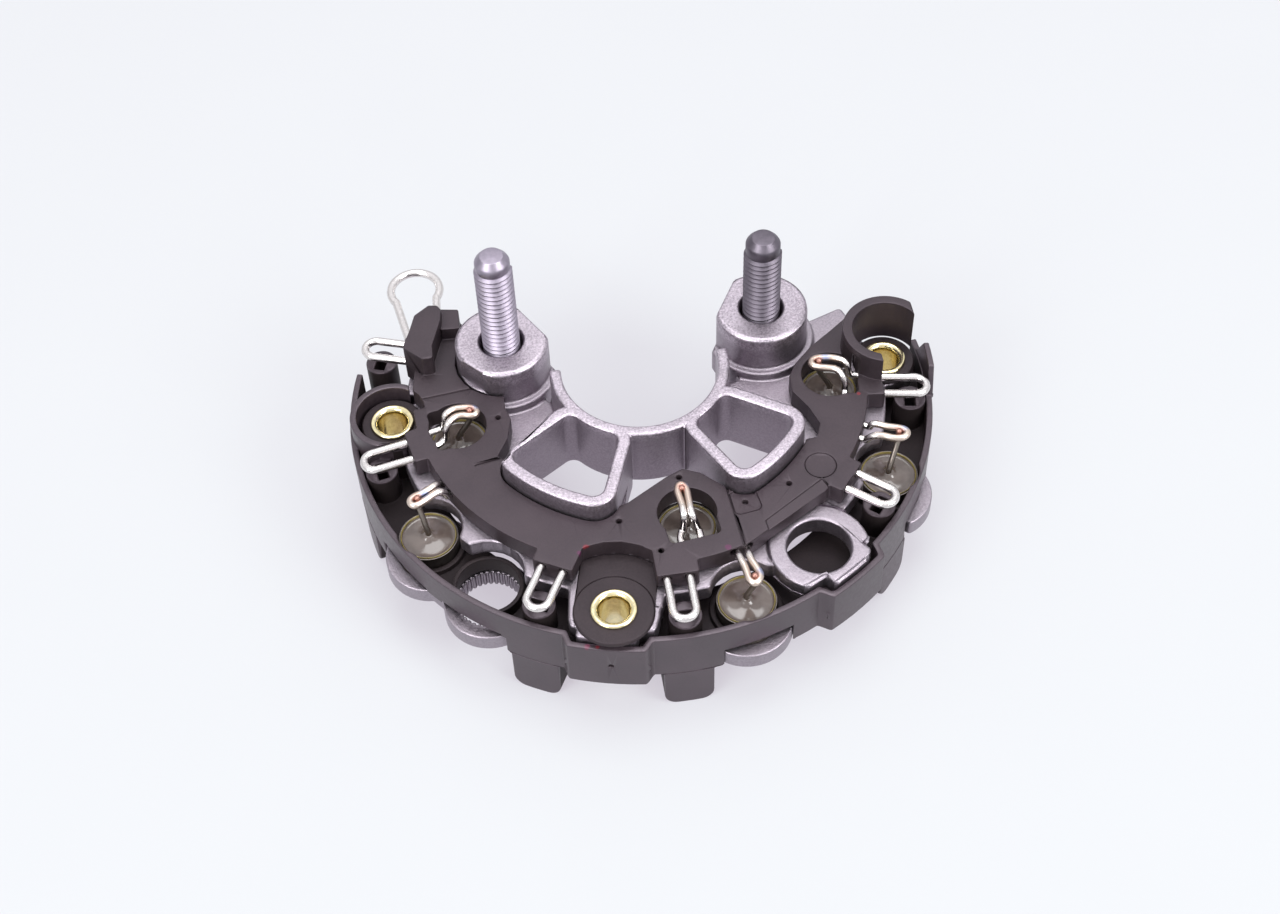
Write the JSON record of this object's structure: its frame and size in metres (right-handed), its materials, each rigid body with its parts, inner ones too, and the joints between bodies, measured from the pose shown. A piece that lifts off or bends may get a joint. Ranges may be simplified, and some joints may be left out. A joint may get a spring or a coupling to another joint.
{
  "type": "alternator rectifier",
  "caption": "Alternator rectifier: stacked aluminium heat sinks with press-fit diodes, a black plastic wire guide and terminal board, tinned stator hooks and threaded output studs.",
  "frame": {"origin": "on the shaft axis, midway between the two side rivets, in the plane of the rivets' lower flanges that seats on the alternator's bracket", "axes": "+Z along the shaft axis towards the stud tips, +X from the left side rivet to the right one, +Y to the open side of the horseshoe"},
  "size_m": [0.1226, 0.1037, 0.06],
  "materials": {
    "cast_aluminium": "satin, fine blasted grain",
    "black_plastic": "satin, fine grain",
    "washer_plastic": "satin",
    "tinned_wire": "bright tin plate",
    "zinc_plate": "bright zinc plate",
    "dark_zinc": "dull zinc plate",
    "yellow_brass": "bright, passivated",
    "cup_metal": "dull nickel plate",
    "silicon": "polished",
    "lead_wire": "tin plate over copper",
    "sleeve_plastic": "translucent yellow",
    "potting": "glossy, translucent grey brown"
  },
  "bodies": {
    "root": {"positive_heat_sink": "cast_aluminium", "negative_heat_sink": "cast_aluminium", "wire_guide": "black_plastic", "terminal_board": "black_plastic", "left_phase_conductor": "tinned_wire", "centre_phase_conductor": "tinned_wire", "right_phase_conductor": "tinned_wire", "sensing_loop": "tinned_wire", "left_stud": "zinc_plate", "right_stud": "dark_zinc", "left_rivet": "yellow_brass", "centre_rivet": "yellow_brass", "right_rivet": "yellow_brass", "left_washer": "washer_plastic", "centre_washer": "washer_plastic", "right_washer": "washer_plastic", "negative_cup_left": "cup_metal", "negative_cup_centre": "cup_metal", "negative_cup_right": "cup_metal", "negative_chip_left": "silicon", "negative_chip_centre": "silicon", "negative_chip_right": "silicon", "negative_lead_left": "lead_wire", "negative_lead_centre": "lead_wire", "negative_lead_right": "lead_wire", "negative_sleeve_left": "sleeve_plastic", "negative_sleeve_centre": "sleeve_plastic", "negative_sleeve_right": "sleeve_plastic", "negative_potting_left": "potting", "negative_potting_centre": "potting", "negative_potting_right": "potting", "positive_cup_left": "cup_metal", "positive_cup_centre": "cup_metal", "positive_cup_right": "cup_metal", "positive_chip_left": "silicon", "positive_chip_centre": "silicon", "positive_chip_right": "silicon", "positive_lead_left": "lead_wire", "positive_lead_centre": "lead_wire", "positive_lead_right": "lead_wire", "positive_sleeve_left": "sleeve_plastic", "positive_sleeve_centre": "sleeve_plastic", "positive_sleeve_right": "sleeve_plastic", "positive_potting_left": "potting", "positive_potting_centre": "potting", "positive_potting_right": "potting"}
  },
  "joints": []
}
